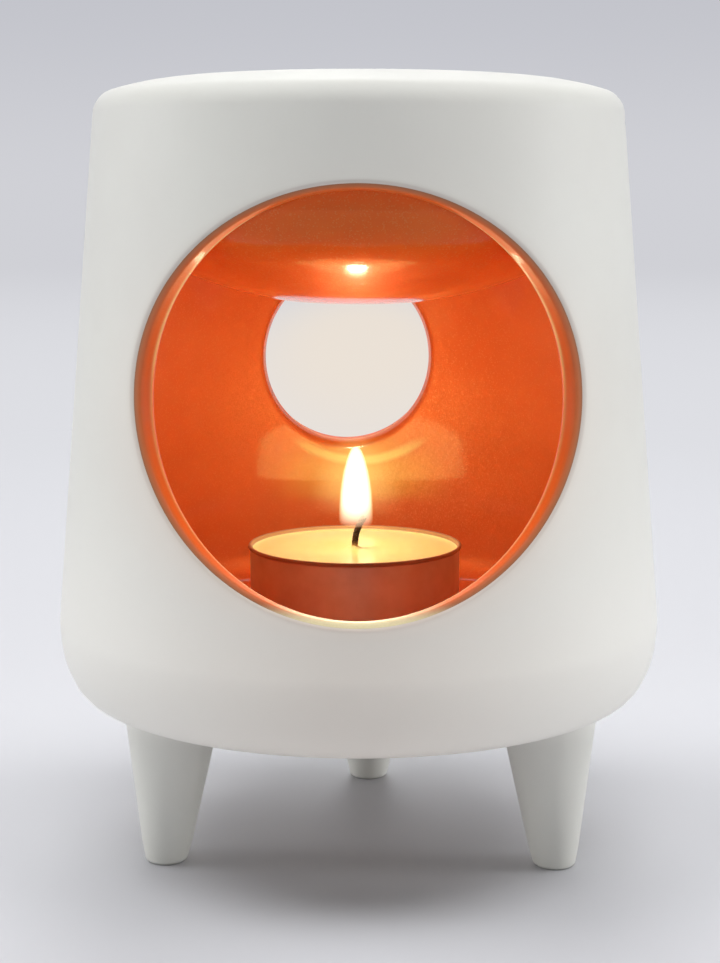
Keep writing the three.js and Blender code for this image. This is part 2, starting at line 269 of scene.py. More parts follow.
# %% World
world = bpy.data.worlds.new("studio")
bpy.context.scene.world = world
world.use_nodes = True
sky = world.node_tree
sky.nodes.clear()
toward = sky.nodes.new("ShaderNodeTexCoord").outputs["Generated"]
FILL = 0.005
SOFT_LIGHTS = {  # azimuth from the front, elevation and half-width in degrees, then strength
    "high_front": (0, 75, 12, 0.098), "high_left": (-90, 62, 16, 0.168),
    "high_right": (90, 62, 16, 0.148), "behind": (180, 42, 16, 0.160),
    "low_behind": (180, 27, 10, 0.040), "low_left": (-90, 10, 10, 0.088),
    "low_right": (90, 10, 10, 0.120), "low_left_rear": (-120, 8, 10, 0.054),
    "low_right_rear": (120, 8, 10, 0.048), "low_front": (0, 25, 20, 0.050),
}
RIM_SHARE, HEART_SHARE = 1.35, 0.65
level = FILL
for *angles, strength in SOFT_LIGHTS.values():
    azimuth, elevation, half = (radians(angle) for angle in angles)
    level_reach = cos(elevation)
    aim = (sin(azimuth) * level_reach, -cos(azimuth) * level_reach, sin(elevation))
    shone = use(sky, patch, Toward=toward, Aim=aim, Rim=cos(RIM_SHARE * half),
                Heart=cos(HEART_SHARE * half), Strength=strength / (1 - cos(half)))
    level = sums(sky, "ADD", shone["Level"], level)
lit = add(sky, "ShaderNodeBackground", (0.985, 0.99, 1.0, 1), level)
GREY_NEAR = (0.735, 0.742, 0.780, 1)
GREY_FAR = (0.630, 0.634, 0.672, 1)
GREY_HIGH = (0.545, 0.552, 0.598, 1)
DIMMEST = 0.2
grey = blend(sky, spread(sky, part_of(sky, toward, "Z"), 0.0, 0.11), GREY_FAR, GREY_HIGH)
seen_level = dim_in_gloss(sky, part_of(sky, toward, "Y"), -0.4, 0.3, DIMMEST)
seen = add(sky, "ShaderNodeBackground", grey, seen_level)
both = add(sky, "ShaderNodeMixShader", seen_straight(sky), lit.outputs[0], seen.outputs[0])
sky.links.new(both.outputs[0], sky.nodes.new("ShaderNodeOutputWorld").inputs["Surface"])
print("soft lights", len(SOFT_LIGHTS))

# %% Floor
floor_paper, tree, shader, place = new_material("floor_paper")
PAPER, PAPER_DIMMEST = (0.625, 0.627, 0.655), 0.25
forward = part_of(tree, place, "Y")
# Painted shade in reflections: in a gloss the paper, and the far grey below, turn darker on the camera's
# side, where the studio is dim.
dimmed = dim_in_gloss(tree, forward, -0.07, 0.02, PAPER_DIMMEST)
fill(tree, shader, Base_Color=scaled(tree, PAPER, dimmed), Roughness=0.7, Specular_IOR_Level=0.15)
away = measures(tree, "LENGTH", place)
far_tone = blend(tree, spread(tree, away, 0.3, 2.8), GREY_NEAR, GREY_FAR)
# Painted light: a pool of warm light painted into the far floor behind the burner.
LIGHT_POOL_CENTRE, LIGHT_POOL_STRETCH = (0.0, 0.95 / 0.85, 0.0), (7.0, 0.85, 1.0)
painted_light_pool = spread(tree, distance_from(tree, place, LIGHT_POOL_CENTRE, LIGHT_POOL_STRETCH), 0.2, 1.0, 0.8, 0.0)
far_tone_and_painted_pool = blend(tree, painted_light_pool, far_tone, (0.86, 0.765, 0.655, 1))
far_glow = add(tree, "ShaderNodeEmission", far_tone_and_painted_pool, dim_in_gloss(tree, forward, -0.8, 0.2, DIMMEST))
share = times(tree, spread(tree, away, 0.22, 0.6), seen_straight(tree))
surface = next(n for n in tree.nodes if n.type == "OUTPUT_MATERIAL")
principled = next(n for n in tree.nodes if n.type == "BSDF_PRINCIPLED")
mixed = add(tree, "ShaderNodeMixShader", share, principled.outputs[0], far_glow.outputs[0])
tree.links.new(mixed.outputs[0], surface.inputs["Surface"])

FLOOR_REACH = 60.0
corners = [(x * FLOOR_REACH, y * FLOOR_REACH, 0) for x, y in ((-1, -1), (1, -1), (1, 1), (-1, 1))]
floor_mesh = bpy.data.meshes.new("floor")
floor_mesh.from_pydata(corners, [], [(0, 1, 2, 3)])
floor_mesh.materials.append(floor_paper)
floor = into_scene("floor", floor_mesh)
print("floor", 2 * FLOOR_REACH, "m across")

# %% [markdown]
# The burner's sizes
#
# These are the sizes that the potter would work to, in millimetres: the drum's outline, the
# wall, the two openings and the coat of copper glaze, whose face lies half a millimetre off the
# clay. Every later cell draws from here.

# %% Sizes
MM = 0.001
LEG_HEIGHT, DRUM_HEIGHT, WALL = 27.5, 106.7, 3.9
BELLY, NECK, CORNER_WIDTH, CORNER_HEIGHT = 53.1, 45.6, 6.2, 13.2
NECK_DROP, CROWN_ROLL, CROWN_SLOPE = 5.9, 4.3, 16.8
FLOOR_THICKNESS, FLOOR_CORNER = 8.7, 7.0
HOLLOW_RADIUS, HOLLOW_RISE = 23.0, 2.6
OPENING_RISE, ROUNDING, INNER_ROUNDING = 55.4, 0.9, 1.3
COAT = 0.5
FRONT = {"side": -1, "centre": 0.0, "half_width": 35.5, "half_height": 33.2}
REAR = {"side": 1, "centre": -2.55, "half_width": 17.7, "half_height": 17.7}

base_z = LEG_HEIGHT
top_z = base_z + DRUM_HEIGHT
belt_z = base_z + CORNER_HEIGHT
neck_z = top_z - NECK_DROP
floor_z = base_z + FLOOR_THICKNESS
opening_z = base_z + OPENING_RISE
base_flat = BELLY - CORNER_WIDTH
taper = atan2(BELLY - NECK, neck_z - belt_z)
slope = radians(CROWN_SLOPE)
roll_centre = (NECK - CROWN_ROLL * cos(taper), neck_z - CROWN_ROLL * sin(taper))
dome_radius = (top_z - roll_centre[1] - CROWN_ROLL * cos(slope)) / (1 - cos(slope))
crest_radius = roll_centre[0] - (dome_radius - CROWN_ROLL) * sin(slope)


def outer_radius(z):
    return BELLY + (NECK - BELLY) * (z - belt_z) / (neck_z - belt_z)


def inner_radius(z):
    return outer_radius(z) - WALL / cos(taper)


def arc(centre, radius, start, end, steps, height=None):
    """Points of an arc as (radius, height), with angles in degrees. A height of its own makes it oval."""
    height = height or radius
    angles = np.radians(np.linspace(start, end, steps + 1))
    return [(centre[0] + radius * cos(a), centre[1] + height * sin(a)) for a in angles]


def crown(depth, roll_steps, dome_steps):
    """The crown from the neck to its crest, at a depth under its skin: a tight roll, a low dome."""
    roll, dome = CROWN_ROLL - depth, dome_radius - depth
    rolled = arc(roll_centre, roll, degrees(taper), 90 - CROWN_SLOPE, roll_steps)
    domed = arc((crest_radius, top_z - dome_radius), dome, 90 - CROWN_SLOPE, 90, dome_steps)
    return rolled + domed[1:]


print("drum", round(2 * BELLY, 1), "mm across, taper", round(degrees(taper), 2), "degrees")
print("crest radius", round(crest_radius, 1), "mm, dome radius", round(dome_radius, 1), "mm")

# %% [markdown]
# Turning a profile
#
# The dish, the legs, the cup, the wax and the flame are all turned shapes: one profile, carried
# round an axis. One Geometry Nodes tree does it for all of them. It reads a profile curve, lays
# a grid with a row for each of the curve's points, and bends that grid round the axis. A lean
# shifts each height sideways, which is how the splayed legs are made without tilting their
# feet. Because the profile's own points are used, a sharp corner stays sharp.

# %% Turning tree
def hand_out(tree, shape, given, result):
    """Ends a tree as the export needs it: smooth, with real copies and the finish."""
    shape = add(tree, "GeometryNodeSetShadeSmooth", shape).outputs[0]
    shape = add(tree, "GeometryNodeRealizeInstances", shape).outputs[0]
    shape = add(tree, "GeometryNodeSetMaterial", shape, None, given["Finish"]).outputs[0]
    feed(tree, shape, result["Shape"])


turning, given, result = new_group(
    "turned_shape", "GeometryNodeTree",
    {"Profile": "object", "Sides": 96, "Lean": "vector", "Foot": "vector", "Finish": "finish"},
    {"Shape": "shape"},
)
curve = add(turning, "GeometryNodeObjectInfo", given["Profile"]).outputs["Geometry"]
rows = add(turning, "GeometryNodeAttributeDomainSize", curve, component="CURVE").outputs["Point Count"]
columns = sums(turning, "ADD", given["Sides"], 1)
sheet = add(turning, "GeometryNodeMeshGrid", 1.0, 1.0, rows, columns).outputs["Mesh"]
index = turning.nodes.new("GeometryNodeInputIndex").outputs[0]
row = sums(turning, "FLOOR", sums(turning, "DIVIDE", sums(turning, "ADD", index, 0.5), columns))
column = sums(turning, "SUBTRACT", index, times(turning, row, columns))
profile_point = add(turning, "GeometryNodeSampleIndex", data_type="FLOAT_VECTOR", domain="POINT")
feed(turning, curve, profile_point.inputs["Geometry"])
feed(turning, turning.nodes.new("GeometryNodeInputPosition").outputs[0], profile_point.inputs["Value"])
feed(turning, row, profile_point.inputs["Index"])
point = add(turning, "ShaderNodeSeparateXYZ", profile_point.outputs[0]).outputs
turn = times(turning, column, sums(turning, "DIVIDE", 2 * pi, given["Sides"]))
across = times(turning, point["X"], sums(turning, "COSINE", turn))
along = times(turning, point["X"], sums(turning, "SINE", turn))
spot = add(turning, "ShaderNodeCombineXYZ", across, along, point["Z"]).outputs[0]
shift = scaled(turning, given["Lean"], point["Z"])
spot = vectors(turning, "ADD", vectors(turning, "ADD", spot, shift), given["Foot"])
turned = add(turning, "GeometryNodeSetPosition", sheet, None, spot).outputs[0]
turned = add(turning, "GeometryNodeMergeByDistance", turned, None, 1e-7).outputs[0]
hand_out(turning, turned, given, result)
print("turning tree", len(turning.nodes), "nodes")


# %% Helpers that run a tree and keep its result
def path_curve(name, points):
    """A poly curve through points in millimetres, kept out of the scene."""
    data = bpy.data.curves.new(name, "CURVE")
    data.dimensions = "3D"
    spline = data.splines.new("POLY")
    spline.points.add(len(points) - 1)
    for slot, (x, y, z) in zip(spline.points, points):
        slot.co = (x * MM, y * MM, z * MM, 1)
    return bpy.data.objects.new(name, data)


def face_outwards(mesh):
    """Points a closed mesh's faces out of it."""
    shape = bmesh.new()
    shape.from_mesh(mesh)
    bmesh.ops.recalc_face_normals(shape, faces=shape.faces)
    if shape.calc_volume(signed=True) < 0:
        bmesh.ops.reverse_faces(shape, faces=shape.faces)
    shape.to_mesh(mesh)
    shape.free()


def grow_shape(name, tree, finish, **values):
    """Runs a Geometry Nodes tree on an empty mesh and keeps the plain mesh that it makes."""
    piece = into_scene(name, bpy.data.meshes.new(name))
    piece.data.materials.append(finish)
    modifier = piece.modifiers.new("grow", "NODES")
    modifier.node_group = tree
    sockets = {s.name: s.identifier for s in tree.interface.items_tree if s.in_out == "INPUT"}
    for label, value in {**values, "Finish": finish}.items():
        modifier[sockets[label.replace("_", " ")]] = value
    bpy.context.view_layer.update()
    made = bpy.data.meshes.new_from_object(piece.evaluated_get(bpy.context.evaluated_depsgraph_get()))
    piece.modifiers.clear()
    piece.data = made
    made.name = name
    face_outwards(made)
    print(name, len(made.polygons), "faces")
    return piece


def turned_piece(name, profile, finish, sides=160, lean=(0, 0, 0), foot=(0, 0, 0)):
    """A piece turned from a profile of (radius, height) in millimetres."""
    outline = path_curve(name + "_profile", [(r, 0, z) for r, z in profile])
    foot = tuple(v * MM for v in foot)
    return grow_shape(name, turning, finish, Profile=outline, Sides=sides, Lean=lean, Foot=foot)


# %% [markdown]
# Shared effects
#
# Three small shader groups serve several finishes. Fired mottle is the soft unevenness that any
# fired or cast surface has: two tones, drifting into each other. Fine grain is the close
# roughness that shows only where light grazes: it gives a height for a Bump node and a small
# change of roughness. Flakes are the tiny plates in a metallic glaze, each tilted its own way,
# so that some of them catch the flame.

# %% Fired mottle
mottle, given, result = new_group(
    "fired_mottle", "ShaderNodeTree",
    {"Place": "vector", "Light Tone": "colour", "Deep Tone": "colour", "Scale": 40.0, "Depth": 0.5},
    {"Colour": "colour"},
)
cloud = add(mottle, "ShaderNodeTexNoise", given["Place"], None, given["Scale"], 4.0, 0.55).outputs[0]
drift = times(mottle, spread(mottle, cloud, 0.34, 0.68), given["Depth"])
feed(mottle, blend(mottle, drift, given["Light Tone"], given["Deep Tone"]), result["Colour"])


def two_tones(tree, place, light_tone, deep_tone, scale, depth):
    """A finish's colour, drifting between two tones."""
    return use(tree, mottle, Place=place, Light_Tone=light_tone, Deep_Tone=deep_tone,
               Scale=scale, Depth=depth)["Colour"]


print("fired mottle ready")

# %% Fine grain
grain, given, result = new_group(
    "fine_grain", "ShaderNodeTree",
    {"Place": "vector", "Scale": 900.0, "Smooth": 0.4, "Rough": 0.5},
    {"Height": "float", "Roughness": "float"},
)
WIDE_SCALE, CLOSE_SHARE = 0.12, 0.35
close = add(grain, "ShaderNodeTexNoise", given["Place"], None, given["Scale"], 3.0).outputs[0]
wide_scale = times(grain, given["Scale"], WIDE_SCALE)
wide = add(grain, "ShaderNodeTexNoise", given["Place"], None, wide_scale, 2.0).outputs[0]
feed(grain, sums(grain, "ADD", times(grain, close, CLOSE_SHARE), wide), result["Height"])
change = add(grain, "ShaderNodeMapRange", wide, 0.3, 0.7, given["Smooth"], given["Rough"])
feed(grain, change.outputs[0], result["Roughness"])


def add_bump(tree, shader, height, strength, distance):
    bump = add(tree, "ShaderNodeBump", strength, distance)
    feed(tree, height, bump.inputs["Height"])
    feed(tree, bump.outputs[0], shader["Normal"])


def add_grain(tree, shader, place, scale, smooth, rough, strength=0.0, distance=0.0):
    """Fine grain for a finish's roughness, and for its bump where a strength is given."""
    skin = use(tree, grain, Place=place, Scale=scale, Smooth=smooth, Rough=rough)
    feed(tree, skin["Roughness"], shader["Roughness"])
    if strength:
        add_bump(tree, shader, skin["Height"], strength, distance)
    return skin


print("fine grain ready")

# %% Flakes
flakes, given, result = new_group(
    "flakes", "ShaderNodeTree",
    {"Place": "vector", "Scale": 2600.0, "Tilt": 0.2},
    {"Normal": "vector", "Glint": "float"},
)
cells = add(flakes, "ShaderNodeTexVoronoi", given["Place"], None, given["Scale"]).outputs["Color"]
tilted = scaled(flakes, vectors(flakes, "SUBTRACT", cells, (0.5, 0.5, 0.5)), given["Tilt"])
facing = vectors(flakes, "ADD", flakes.nodes.new("ShaderNodeNewGeometry").outputs["Normal"], tilted)
feed(flakes, vectors(flakes, "NORMALIZE", facing), result["Normal"])
chance = add(flakes, "ShaderNodeSeparateColor", cells).outputs[0]
feed(flakes, spread(flakes, chance, 0.82, 0.98), result["Glint"])
print("flakes ready")

# %% [markdown]
# White ceramic
#
# A matt white glaze over pale clay: slightly warm, with an eggshell surface. Low on the drum,
# above the legs, it is painted whiter: painted bounce light from the floor. The underside of the
# base is left bare and dark: partly its clay, partly painted shade under the drum. The white turns
# a little darker towards the edges of the openings. The mesh says where, in attributes named edge
# and bare. A third one, painted_flame_tint, is the flame's and the copper's light,
# painted as a warm tint into the wall round the front opening.

# %% White ceramic
white_ceramic, tree, shader, place = new_material("white_ceramic")
BOUNCE_STARTS, BOUNCE_FULL, BOUNCE_FADES, BOUNCE_ENDS = 0.022, 0.030, 0.035, 0.078
tone = two_tones(tree, place, (0.85, 0.85, 0.79, 1), (0.81, 0.80, 0.745, 1), 26.0, 0.7)
height = part_of(tree, place, "Z")
# Painted bounce light: the drum is painted whiter low down, above the legs, where the floor's light falls.
painted_bounce = spread(tree, height, BOUNCE_FADES, BOUNCE_ENDS, 0.9, 0.0)
painted_bounce = times(tree, painted_bounce, spread(tree, height, BOUNCE_STARTS, BOUNCE_FULL))
colour = blend(tree, painted_bounce, tone, (0.96, 0.945, 0.885, 1))
# Darker towards the edges of the openings.
colour = blend(tree, times(tree, from_mesh(tree, "edge"), 0.5), colour, (0.56, 0.50, 0.45, 1))
# The bare underside: dark clay, partly painted shade under the drum.
colour = blend(tree, from_mesh(tree, "bare"), colour, (0.40, 0.34, 0.29, 1))
# Painted flame light: a warm tint painted round the front opening.
colour = blend(tree, times(tree, from_mesh(tree, "painted_flame_tint"), 0.35), colour, (1.0, 0.77, 0.61, 1))
fill(tree, shader, Base_Color=colour, Specular_IOR_Level=0.4)
add_grain(tree, shader, place, scale=1100.0, smooth=0.40, rough=0.52, strength=0.12, distance=0.0002)
print("white ceramic ready")

# %% [markdown]
# Copper glaze
#
# The glaze is a clear, glossy coat with copper flakes in it. The shader has the same build: a
# partly metallic base whose normal is tilted flake by flake, so that it sparkles round the
# flame's reflection, and over it a smooth coat. A few flakes are a lighter copper: their own
# colour, made a little brighter as painted sparkle. The coat mirrors sharply on the wall and more
# softly on the dish, where the glaze is rougher. On the lips the glaze is drawn thin, and turns to
# brown at its outer edge, where it runs out over the white. The flame's light is painted into the
# colour in four places: a painted highlight in a gold line along the lips' inner edge, a painted
# gold glow on the wall behind the flame, a painted highlight in a bow under the rear opening, and
# a painted pale glow at the foot of the front lip. Three attributes of the mesh say where the
# rings of the lips lie: lip, gilt and edge.

# %% Copper glaze
PAINTED_GLOW_CENTRE, PAINTED_GLOW_STRETCH = (0, 0.045, 0.058), (56, 20, 105)
PAINTED_GLOW_FOOT, PAINTED_GLOW_RISEN = 0.0518, 0.0550
HIGHLIGHT_BOW_CENTRE, HIGHLIGHT_BOW_RADIUS = (0, 0, 0.0803), 0.0190
HIGHLIGHT_BOW_CORE, HIGHLIGHT_BOW_EDGE = 0.0003, 0.0014
HIGHLIGHT_BOW_FULL, HIGHLIGHT_BOW_ENDS = 0.0618, 0.0670
LIP_GLOW_FULL, LIP_GLOW_ENDS = 0.0498, 0.0530
LIP_HIGHLIGHT_FAINT, LIP_HIGHLIGHT_FULL = 0.083, 0.091


def copper_coat(name, light_tone, deep_tone, metal, sheen, coat_roughness, coat_ior):
    """The copper glaze, with its share of metal and a clear coat that mirrors sharply or softly."""
    finish, tree, shader, place = new_material(name)
    flake = use(tree, flakes, Place=place, Scale=5000.0, Tilt=0.13)
    height = part_of(tree, place, "Z")
    # Painted glow: the flame's light, painted gold on the wall behind the flame.
    painted_wall_glow = spread(tree, distance_from(tree, place, PAINTED_GLOW_CENTRE, PAINTED_GLOW_STRETCH), 0.15, 1.2, 0.85, 0.0)
    painted_wall_glow = times(tree, painted_wall_glow, spread(tree, height, PAINTED_GLOW_FOOT, PAINTED_GLOW_RISEN))
    # Painted highlight: a gold bow under the rear opening, where the flame is mirrored.
    off_highlight_bow = sums(tree, "SUBTRACT", distance_from(tree, place, HIGHLIGHT_BOW_CENTRE, (1, 0, 1)), HIGHLIGHT_BOW_RADIUS)
    painted_bow_highlight = spread(tree, sums(tree, "ABSOLUTE", off_highlight_bow), HIGHLIGHT_BOW_CORE, HIGHLIGHT_BOW_EDGE, 1.0, 0.0)
    painted_bow_highlight = times(tree, painted_bow_highlight, spread(tree, height, HIGHLIGHT_BOW_FULL, HIGHLIGHT_BOW_ENDS, 1.0, 0.0))
    lip = from_mesh(tree, "lip")
    # Painted highlight: a gold line along the lips' inner edge, fainter low down.
    gilt = times(tree, from_mesh(tree, "gilt"), spread(tree, height, LIP_HIGHLIGHT_FAINT, LIP_HIGHLIGHT_FULL, 0.5, 1.0))
    # Painted light: a pale glow on the lip at the foot of the front opening.
    painted_lip_glow = times(tree, lip, spread(tree, height, LIP_GLOW_FULL, LIP_GLOW_ENDS, 1.0, 0.0))
    colour = two_tones(tree, place, light_tone, deep_tone, 45.0, 0.8)
    for share, tone in [
        # The flakes' own lighter copper, painted a little brighter as sparkle.
        (times(tree, flake["Glint"], 0.3), (1.0, 0.42, 0.12, 1)),
        (painted_wall_glow, (0.94, 0.60, 0.10, 1)),
        (painted_bow_highlight, (1.0, 0.92, 0.30, 1)),
        (times(tree, lip, 0.9), (0.98, 0.15, 0.006, 1)),
        (gilt, (1.0, 0.66, 0.24, 1)),
        (from_mesh(tree, "edge"), (0.40, 0.165, 0.07, 1)),
        (painted_lip_glow, (1.0, 0.88, 0.52, 1)),
    ]:
        colour = blend(tree, share, colour, tone)
    add_grain(tree, shader, place, scale=700.0, smooth=0.44, rough=0.54)
    fill(tree, shader, Base_Color=colour, Normal=flake["Normal"],
         Metallic=sums(tree, "MULTIPLY_ADD", lip, -metal, metal), Specular_IOR_Level=sheen,
         Coat_Weight=sums(tree, "MULTIPLY_ADD", lip, -0.94, 1.0),
         Coat_Roughness=coat_roughness, Coat_IOR=coat_ior)
    return finish


copper_glaze = copper_coat("copper_glaze", (0.90, 0.25, 0.055, 1), (0.85, 0.195, 0.034, 1),
                           metal=0.5, sheen=0.5, coat_roughness=0.07, coat_ior=2.3)
dish_glaze = copper_coat("dish_glaze", (1.0, 0.20, 0.025, 1), (0.98, 0.155, 0.014, 1),
                         metal=0.45, sheen=0.1, coat_roughness=0.12, coat_ior=1.55)
print("copper glaze ready")

# %% [markdown]
# Tealight finishes
#
# The cup is thin bright aluminium with the fine upright lines of deep drawing, and towards its
# rim it turns darker brown and duller. The wax is melted and is painted darker towards the wick:
# partly the clear molten pool, partly painted shade where the small lamp just above it lights it
# most. Beside its cream colour it has a painted glow of the flame's light, most round the wick.
# The wick is charred above the wax and pale where it leaves it.

# %% Aluminium
thin_aluminium, tree, shader, place = new_material("thin_aluminium")
RIM_DARK_FULL, RIM_DARK_FROM = 0.0004, 0.0009
cup_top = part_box("tealight_cup")[1].z
tone = two_tones(tree, place, (0.68, 0.61, 0.55, 1), (0.57, 0.50, 0.44, 1), 160.0, 0.7)
# Towards the rim the cup turns darker brown and rougher.
darker_rim = spread(tree, part_of(tree, place, "Z"), cup_top - RIM_DARK_FROM, cup_top - RIM_DARK_FULL)
fill(tree, shader, Base_Color=blend(tree, darker_rim, tone, (0.50, 0.31, 0.17, 1)), Metallic=1.0)
drawn_out = add(tree, "ShaderNodeMapping", place, None, None, (1, 1, 0.04)).outputs[0]
lines = add_grain(tree, shader, drawn_out, scale=1500.0, smooth=0.36, rough=0.48,
                  strength=0.15, distance=0.0001)
feed(tree, sums(tree, "MULTIPLY_ADD", darker_rim, 0.3, lines["Roughness"]), shader["Roughness"])
print("aluminium ready")

# %% Wax
candle_wax, tree, shader, place = new_material("candle_wax")
WICK_PLACE, MOLTEN_SHADE_REACH = (-0.0007, 0.0003, 0), 0.0185
tone = two_tones(tree, place, (0.86, 0.88, 0.42, 1), (0.84, 0.82, 0.36, 1), 120.0, 0.7)
far = distance_from(tree, place, WICK_PLACE, (1, 1, 0))
# Painted darker towards the wick: partly the clear molten pool, partly painted shade under the lamp.
molten_and_shade = sums(tree, "SUBTRACT", 1.0, sums(tree, "POWER", times(tree, far, 1 / MOLTEN_SHADE_REACH), 1.8))
molten_and_shade = sums(tree, "MAXIMUM", molten_and_shade, 0.0)
add_grain(tree, shader, place, scale=500.0, smooth=0.16, rough=0.28, strength=0.08, distance=0.0002)
# Painted glow: the flame's light, painted as a faint warm emission, strongest round the wick.
glow = spread(tree, far, 0.0, 0.019, 1.0, 0.45)
fill(tree, shader, Base_Color=blend(tree, molten_and_shade, tone, (0.36, 0.31, 0.125, 1)),
     Subsurface_Weight=0.25, Subsurface_Scale=0.003, Emission_Strength=0.08,
     Emission_Color=blend(tree, glow, (0.0, 0.0, 0.0, 1), (1.0, 0.62, 0.16, 1)))
print("wax ready")

# %% Wick and plate
charred_cotton, tree, shader, place = new_material("charred_cotton")
PALE_TO, CHARRED_FROM = 0.0522, 0.0535
charred = spread(tree, part_of(tree, place, "Z"), PALE_TO, CHARRED_FROM)
tone = two_tones(tree, place, (0.024, 0.012, 0.008, 1), (0.07, 0.028, 0.012, 1), 900.0, 1.0)
colour = blend(tree, charred, (0.55, 0.36, 0.15, 1), tone)
fill(tree, shader, Base_Color=colour, Roughness=0.9)
fibres = use(tree, grain, Place=place, Scale=4000.0)
add_bump(tree, shader, fibres["Height"], 0.5, 0.0001)

tinplate, tree, shader, place = new_material("tinplate")
tone = two_tones(tree, place, (0.62, 0.62, 0.63, 1), (0.52, 0.51, 0.50, 1), 300.0, 0.6)
fill(tree, shader, Base_Color=tone, Metallic=1.0)
add_grain(tree, shader, place, scale=1800.0, smooth=0.3, rough=0.45)
print("wick and plate ready")

# %% Flame
flame_light, tree, shader, place = new_material("flame_light")
height = part_of(tree, place, "Z")
rising = spread(tree, height, 0.0553, 0.0612)
tip = spread(tree, height, 0.0665, 0.0708)
soft_foot = spread(tree, height, 0.0585, 0.0625)
thin = add(tree, "ShaderNodeLayerWeight", 0.5).outputs["Facing"]
mantle = from_mesh(tree, "mantle")
colour = blend(tree, rising, (1.0, 0.58, 0.34, 1), (1.0, 0.92, 0.68, 1))
colour = blend(tree, tip, colour, (1.0, 0.82, 0.46, 1))
colour = blend(tree, spread(tree, thin, 0.25, 0.9), colour, (1.0, 0.72, 0.30, 1))
solid = sums(tree, "SUBTRACT", 1.0, thin)
dense = times(tree, sums(tree, "POWER", solid, 1.7), sums(tree, "MULTIPLY_ADD", rising, 0.92, 0.08))
faint = times(tree, times(tree, sums(tree, "POWER", solid, 4.0), 0.16), soft_foot)
fill(tree, shader, Base_Color=(0.0, 0.0, 0.0, 1), Specular_IOR_Level=0.0, Emission_Strength=2.3,
     Emission_Color=blend(tree, mantle, colour, (1.0, 0.60, 0.18, 1)),
     Alpha=blend_value(tree, mantle, dense, faint))
print("flame ready")

# %% [markdown]
# The pierced wall
#
# A wall with a round hole is easy to cut and hard to cut well: a cut leaves slivers round the
# lip, just where the light runs along it. So the wall is woven instead. Each half of the drum,
# front and rear, is one band of rings. The first ring is the border of the half on the outside,
# the next ones close in on the opening, then the rings roll over the lip, cross the wall's
# thickness, roll over the inner edge and open out again to the border on the inside. Both
# halves share their border points, and the turned crown and base pick up the same points.

# %% Border and outline
STEPS = 40
spacing = np.tan(np.linspace(-pi / 4, pi / 4, STEPS + 1))[:-1]
ones = np.ones(STEPS)
border_u = np.concatenate([ones, -spacing, -ones, spacing])
border_v = np.concatenate([spacing, ones, -spacing, -ones])
outline_angle = np.arctan2(border_v, border_u)


def on_wall(side, angle, z, depth):
    """A point of the wall by its angle from the opening's side, its height and its depth in."""
    r = outer_radius(z) - depth * cos(taper)
    lowered = z - depth * sin(taper) + 0 * angle
    return np.stack([r * np.sin(angle), side * r * np.cos(angle), lowered], axis=1)


def border(up, down):
    """Border points as angle and height, for a border that far above and below the openings."""
    return border_u * pi / 2, opening_z + np.where(border_v > 0, up, down) * border_v


def outline(opening, growth):
    """Outline points of an opening as angle and height, grown into the wall by a distance."""
    z = opening_z + (opening["half_height"] + growth) * np.sin(outline_angle)
    x = opening["centre"] + (opening["half_width"] + growth) * np.cos(outline_angle)
    return np.arcsin(x / outer_radius(z)), z


def toward_border(opening, growth, depth, up, down, rings):
    """Rings that open out from an opening's outline to the border, at one depth in the wall."""
    (angle, z), (far_angle, far_z) = outline(opening, growth), border(up, down)
    shares = np.linspace(0, 1, rings + 1) ** 1.5
    side = opening["side"]
    return [on_wall(side, angle + (far_angle - angle) * s, z + (far_z - z) * s, depth) for s in shares]


def lip_ring(opening, depth, growth):
    return on_wall(opening["side"], *outline(opening, growth), depth)


print("points round each opening", 4 * STEPS)


# %% Weaving rings into a mesh
def round_drum():
    """The border's directions round the whole drum, as unit vectors, counter-clockwise."""
    angles = spacing * pi / 2
    front = [(sin(a), -cos(a)) for a in angles]
    rear = [(sin(a), cos(a)) for a in -angles]
    return np.array(front + rear)


def turned_rings(profile):
    """Rings round the whole drum for a profile of (radius, height)."""
    directions = round_drum()
    return [np.column_stack([directions * r, np.full(len(directions), z)]) for r, z in profile]


def mark(mesh, name, values):
    """Gives the points of a mesh an attribute's values."""
    mesh.attributes.new(name, "FLOAT", "POINT").data.foreach_set("value", values)


def weave(name, bands, finish, **masks):
    """Joins bands of rings into one smooth mesh. A mask gives a value to each ring of its bands."""
    points, faces = [], []
    values = {mask: [] for mask in masks}
    for number, rings in enumerate(bands):
        around = len(rings[0])
        for r in range(len(rings) - 1):
            here, there = len(points) + r * around, len(points) + (r + 1) * around
            for i in range(around):
                j = (i + 1) % around
                faces.append((here + i, here + j, there + j, there + i))
        for r, ring in enumerate(rings):
            points.extend(ring * MM)
            for mask, by_band in masks.items():
                values[mask].extend([by_band[number][r] if number < len(by_band) else 0.0] * around)
    mesh = bpy.data.meshes.new(name)
    mesh.from_pydata(points, [], faces)
    for mask, by_point in values.items():
        mark(mesh, mask, by_point)
    shape = bmesh.new()
    shape.from_mesh(mesh)
    bmesh.ops.remove_doubles(shape, verts=shape.verts, dist=2e-6)
    bmesh.ops.recalc_face_normals(shape, faces=shape.faces)
    shape.to_mesh(mesh)
    shape.free()
    mesh.materials.append(finish)
    mesh.shade_smooth()
    print(name, len(mesh.vertices), "points")
    return into_scene(name, mesh)


# %% [markdown]
# The clay drum
#
# Outside, the drum is a straight taper between a deep base corner and a low, broad shoulder. The
# crown rolls over to the dish. The inside of the wall is hidden under the glaze, but it is made
# all the same, so that the drum is one closed body.

# %% Clay drum
up_outside, down_outside = neck_z - opening_z, opening_z - belt_z
inner_corner_z = floor_z + FLOOR_CORNER
down_inside = opening_z - inner_corner_z - WALL * sin(taper)


def rounded_edge(opening, radius, face, way, angles):
    """Rings of a rounded edge, from a face's depth into the wall or back out of it."""
    return [lip_ring(opening, face + way * radius * (1 - cos(a)), radius * (1 - sin(a)))
            for a in angles]


